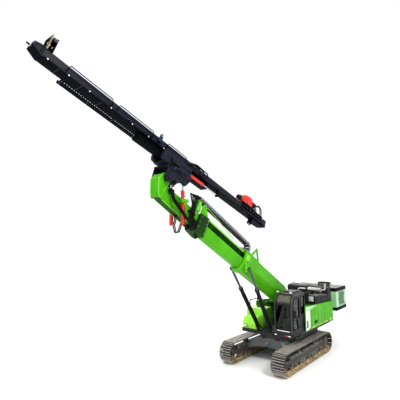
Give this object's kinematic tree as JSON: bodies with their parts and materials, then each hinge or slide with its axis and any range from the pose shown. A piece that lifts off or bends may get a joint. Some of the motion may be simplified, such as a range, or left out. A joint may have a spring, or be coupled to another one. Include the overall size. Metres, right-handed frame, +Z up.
{
  "type": "crawler-mounted anchor drilling rig",
  "caption": "Tracked anchor drilling rig: slewing deck with cab, telescopic boom and a tilting, swinging, sliding feed mast that carries a rotary drill drive.",
  "frame": {"origin": "on the ground under the slewing axis, midway between the tracks", "axes": "+X forward along the tracks and the boom, +Y to the machine's left, +Z up"},
  "size_m": [17.7786, 3.19, 10.8113],
  "materials": {
    "track_steel": "worn dirty steel",
    "frame_grey": "satin dark grey paint",
    "centre_grey": "satin light grey paint",
    "deck_black": "satin black paint",
    "cab_grey": "satin dark grey paint",
    "glass": "green-tinted",
    "trim": "grained",
    "engine": "as cast",
    "lime": "semi-gloss paint",
    "pale_green": "semi-gloss paint",
    "tail_grey": "painted casting",
    "silver": "heat-dulled",
    "louvre_grey": "satin paint",
    "chain_plastic": "moulded links",
    "cylinder_black": "gloss paint",
    "chrome": "hard chrome",
    "red": "gloss paint",
    "bracket_black": "satin paint",
    "mast_blue_black": "satin paint",
    "tray_steel": "perforated sheet",
    "spindle_steel": "machined",
    "hose": "matt"
  },
  "bodies": {
    "undercarriage": {"left_track": "track_steel", "right_track": "track_steel", "track_frames": "frame_grey", "drive_sprockets": "track_steel", "idlers_and_rollers": "track_steel", "centre_frame": "centre_grey", "frame_legs": "centre_grey"},
    "upper": {"deck_frame": "deck_black", "cab_floor": "cab_grey", "cab_left_wall": "cab_grey", "cab_right_wall": "cab_grey", "cab_front_frame": "cab_grey", "cab_rear_wall": "cab_grey", "cab_roof": "cab_grey", "cab_glass": "glass", "seat_and_controls": "trim", "engine_block": "engine", "bay_frame": "frame_grey", "tail_weight": "tail_grey", "engine_cowl": "cab_grey", "muffler": "silver", "air_cleaner_box": "deck_black", "rear_cabinet": "pale_green", "cabinet_frame": "deck_black", "power_pack": "engine", "tank_and_toolbox": "lime", "handrails": "deck_black"},
    "cab_door": {"cab_door": "cab_grey", "door_glass": "glass"},
    "left_front_door": {"left_front_door": "lime"},
    "left_rear_door": {"left_rear_door": "lime"},
    "right_front_door": {"right_front_door": "lime"},
    "right_rear_door": {"right_rear_door": "lime"},
    "cabinet_door": {"cabinet_door": "louvre_grey"},
    "boom": {"boom_base": "lime"},
    "boom_inner": {"boom_inner_section": "lime", "head_arm": "lime", "arm_brackets": "lime", "arm_hoses": "hose", "energy_chain_run": "chain_plastic"},
    "chain_bend": {"energy_chain_bend": "chain_plastic"},
    "lift_barrels": {"lift_barrels": "cylinder_black"},
    "left_lift_rod": {"left_lift_rod": "chrome"},
    "right_lift_rod": {"right_lift_rod": "chrome"},
    "tilt_barrels": {"tilt_barrels": "red"},
    "tilt_rods": {"tilt_rods": "chrome"},
    "mast_bracket": {"mast_bracket": "bracket_black"},
    "slide_frame": {"slide_frame": "bracket_black", "slide_barrel": "red"},
    "mast": {"mast_beam": "mast_blue_black", "mast_ends": "mast_blue_black", "front_clamp": "mast_blue_black", "hose_tray": "tray_steel", "slide_rod": "chrome"},
    "drill_carriage": {"drill_carriage": "mast_blue_black", "rotary_drive": "red", "drive_hoses": "hose"},
    "spindle": {"drill_spindle": "spindle_steel"}
  },
  "joints": [
    {"name": "slew", "type": "hinge", "parent": "undercarriage", "child": "upper", "pos_m": [0, 0, 1.09], "axis": [0, 0, 1], "continuous": true},
    {"name": "cab_door_hinge", "type": "hinge", "parent": "upper", "child": "cab_door", "pos_m": [0.33, 1.312, 2.2], "axis": [0, 0, 1], "range_deg": [0, 110]},
    {"name": "left_front_door_hinge", "type": "hinge", "parent": "upper", "child": "left_front_door", "pos_m": [-0.306, 1.412, 1.9], "axis": [0, 0, -1], "range_deg": [0, 100]},
    {"name": "left_rear_door_hinge", "type": "hinge", "parent": "upper", "child": "left_rear_door", "pos_m": [-3.345, 1.412, 1.85], "axis": [0, 0, 1], "range_deg": [0, 100]},
    {"name": "right_front_door_hinge", "type": "hinge", "parent": "upper", "child": "right_front_door", "pos_m": [-0.306, -1.412, 1.9], "axis": [0, 0, 1], "range_deg": [0, 100]},
    {"name": "right_rear_door_hinge", "type": "hinge", "parent": "upper", "child": "right_rear_door", "pos_m": [-3.345, -1.412, 1.85], "axis": [0, 0, -1], "range_deg": [0, 100]},
    {"name": "cabinet_door_hinge", "type": "hinge", "parent": "upper", "child": "cabinet_door", "pos_m": [-5.191, 1.412, 2.2], "axis": [0, 0, 1], "range_deg": [0, 110]},
    {"name": "boom_lift", "type": "hinge", "parent": "upper", "child": "boom", "pos_m": [-1, 0, 2.39], "axis": [0, -1, 0], "range_deg": [-18, 26]},
    {"name": "lift_barrels_pivot", "type": "hinge", "parent": "upper", "child": "lift_barrels", "pos_m": [1.2, 0, 1.45], "axis": [0, -1, 0], "range_deg": [-21, 30]},
    {"name": "left_lift_rod_slide", "type": "slide", "parent": "lift_barrels", "child": "left_lift_rod", "axis": [0.5568, 0.0464, 0.8294], "range_m": [-0.78, 1.12]},
    {"name": "right_lift_rod_slide", "type": "slide", "parent": "lift_barrels", "child": "right_lift_rod", "axis": [0.5568, -0.0464, 0.8294], "range_m": [-0.78, 1.12]},
    {"name": "telescope", "type": "slide", "parent": "boom", "child": "boom_inner", "axis": [0.8788, 0, 0.4772], "range_m": [-2.3, 0.2]},
    {"name": "chain_bend_roll", "type": "slide", "parent": "boom_inner", "child": "chain_bend", "axis": [0.8788, 0, 0.4772], "range_m": [-0.12, 1.2], "deforming": ["energy_chain_run"]},
    {"name": "mast_tilt", "type": "hinge", "parent": "boom_inner", "child": "mast_bracket", "pos_m": [7.65, 0, 7.62], "axis": [0, -1, 0], "range_deg": [-45, 6]},
    {"name": "tilt_barrels_pivot", "type": "hinge", "parent": "boom_inner", "child": "tilt_barrels", "pos_m": [6.96, 0, 6.88], "axis": [0, -1, 0], "range_deg": [-6, 2]},
    {"name": "tilt_rods_slide", "type": "slide", "parent": "tilt_barrels", "child": "tilt_rods", "axis": [0, 0, 1], "range_m": [-0.1, 0.58]},
    {"name": "mast_swing", "type": "hinge", "parent": "mast_bracket", "child": "slide_frame", "pos_m": [7.1759, 0, 7.88449], "axis": [-0.3535, 0, 0.9354], "range_deg": [-35, 35]},
    {"name": "mast_slide", "type": "slide", "parent": "slide_frame", "child": "mast", "axis": [0.9354, 0, 0.3535], "range_m": [-0.7, 0.7]},
    {"name": "feed", "type": "slide", "parent": "mast", "child": "drill_carriage", "axis": [0.9354, 0, 0.3535], "range_m": [0, 8.5]},
    {"name": "spindle_turn", "type": "hinge", "parent": "drill_carriage", "child": "spindle", "pos_m": [2.67561, 0, 7.20488], "axis": [0.9354, 0, 0.3535], "continuous": true}
  ],
  "couplings": [
    {"joint": "lift_barrels_pivot", "follows": "boom_lift", "ratio": 1.08},
    {"joint": "left_lift_rod_slide", "follows": "boom_lift", "m_per_rad": 2.29},
    {"joint": "right_lift_rod_slide", "follows": "boom_lift", "m_per_rad": 2.29},
    {"joint": "chain_bend_roll", "follows": "telescope", "ratio": -0.5},
    {"joint": "tilt_barrels_pivot", "follows": "mast_tilt", "ratio": 0.1},
    {"joint": "tilt_rods_slide", "follows": "mast_tilt", "m_per_rad": -0.67}
  ]
}
